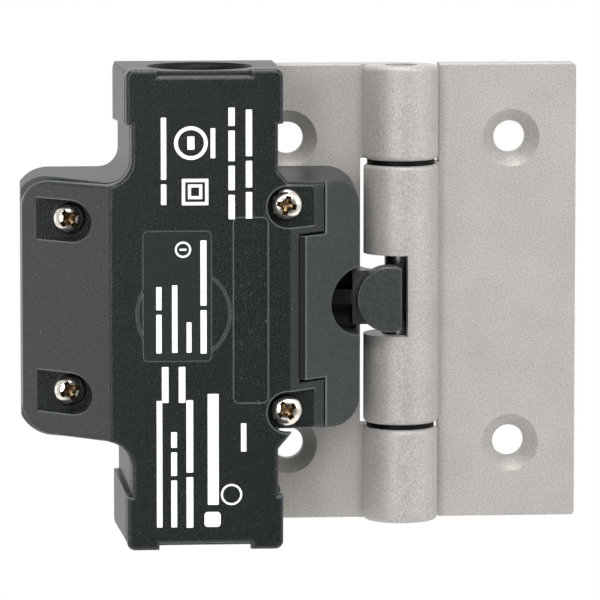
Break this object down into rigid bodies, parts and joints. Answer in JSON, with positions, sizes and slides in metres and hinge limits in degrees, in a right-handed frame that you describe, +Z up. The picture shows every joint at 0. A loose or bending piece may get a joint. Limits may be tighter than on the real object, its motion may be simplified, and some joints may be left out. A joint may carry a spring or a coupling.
{
  "type": "safety hinge switch",
  "caption": "Door hinge with a sealed position switch on its frame leaf; opening the door leaf drives a sprung push block and switches the contacts.",
  "frame": {"origin": "on the mounting plane behind the leaves, under the hinge axis, at mid height, which is the centre of the drilling pattern", "axes": "+X from the hinge axis towards the door leaf, +Y into the profile the hinge is fixed to, +Z up along the hinge axis"},
  "size_m": [0.1122, 0.0361, 0.0948],
  "materials": {
    "hinge_aluminium": "satin anodised",
    "pin_steel": "ground",
    "bearing_plastic": "moulded",
    "base_plastic": "moulded, fine grain",
    "cover_plastic": "moulded, fine grain",
    "plate_plastic": "smooth",
    "gasket_rubber": "moulded",
    "screw_steel": "nickel plated",
    "block_plastic": "moulded, slightly glossy",
    "spring_steel": "drawn wire",
    "contact_brass": "stamped",
    "frame_plastic": "moulded"
  },
  "bodies": {
    "frame": {"frame_leaf": "hinge_aluminium", "hinge_pin": "pin_steel", "base": "base_plastic", "cover": "cover_plastic", "rating_plate": "plate_plastic", "cover_gasket": "gasket_rubber", "upper_left_cover_screw": "screw_steel", "lower_left_cover_screw": "screw_steel", "upper_right_cover_screw": "screw_steel", "lower_right_cover_screw": "screw_steel", "upper_fixing_screw": "screw_steel", "lower_fixing_screw": "screw_steel", "stem_seal": "gasket_rubber", "return_spring": "spring_steel", "contact_block": "frame_plastic", "upper_break_contact": "contact_brass", "upper_break_terminal_screw": "screw_steel", "upper_make_contact": "contact_brass", "upper_make_terminal_screw": "screw_steel", "upper_block_screw": "screw_steel", "lower_break_contact": "contact_brass", "lower_break_terminal_screw": "screw_steel", "lower_make_contact": "contact_brass", "lower_make_terminal_screw": "screw_steel", "lower_block_screw": "screw_steel"},
    "door": {"door_leaf": "hinge_aluminium", "upper_bush": "bearing_plastic", "lower_bush": "bearing_plastic"},
    "slider": {"push_block": "block_plastic", "contact_carrier": "frame_plastic", "break_bridge": "contact_brass", "make_bridge": "contact_brass", "break_contact_spring": "spring_steel", "make_contact_spring": "spring_steel"}
  },
  "joints": [
    {"name": "door_hinge", "type": "hinge", "parent": "frame", "child": "door", "pos_m": [0, -0.0075, 0], "axis": [0, 0, -1], "range_deg": [0, 120]},
    {"name": "block_slide", "type": "slide", "parent": "frame", "child": "slider", "axis": [-1, 0, 0], "range_m": [0, 0.005], "stiffness_N_per_m": 100, "deforming": ["return_spring"]}
  ],
  "couplings": [
    {"joint": "block_slide", "follows": "door_hinge", "m_per_rad": 0.002387}
  ]
}
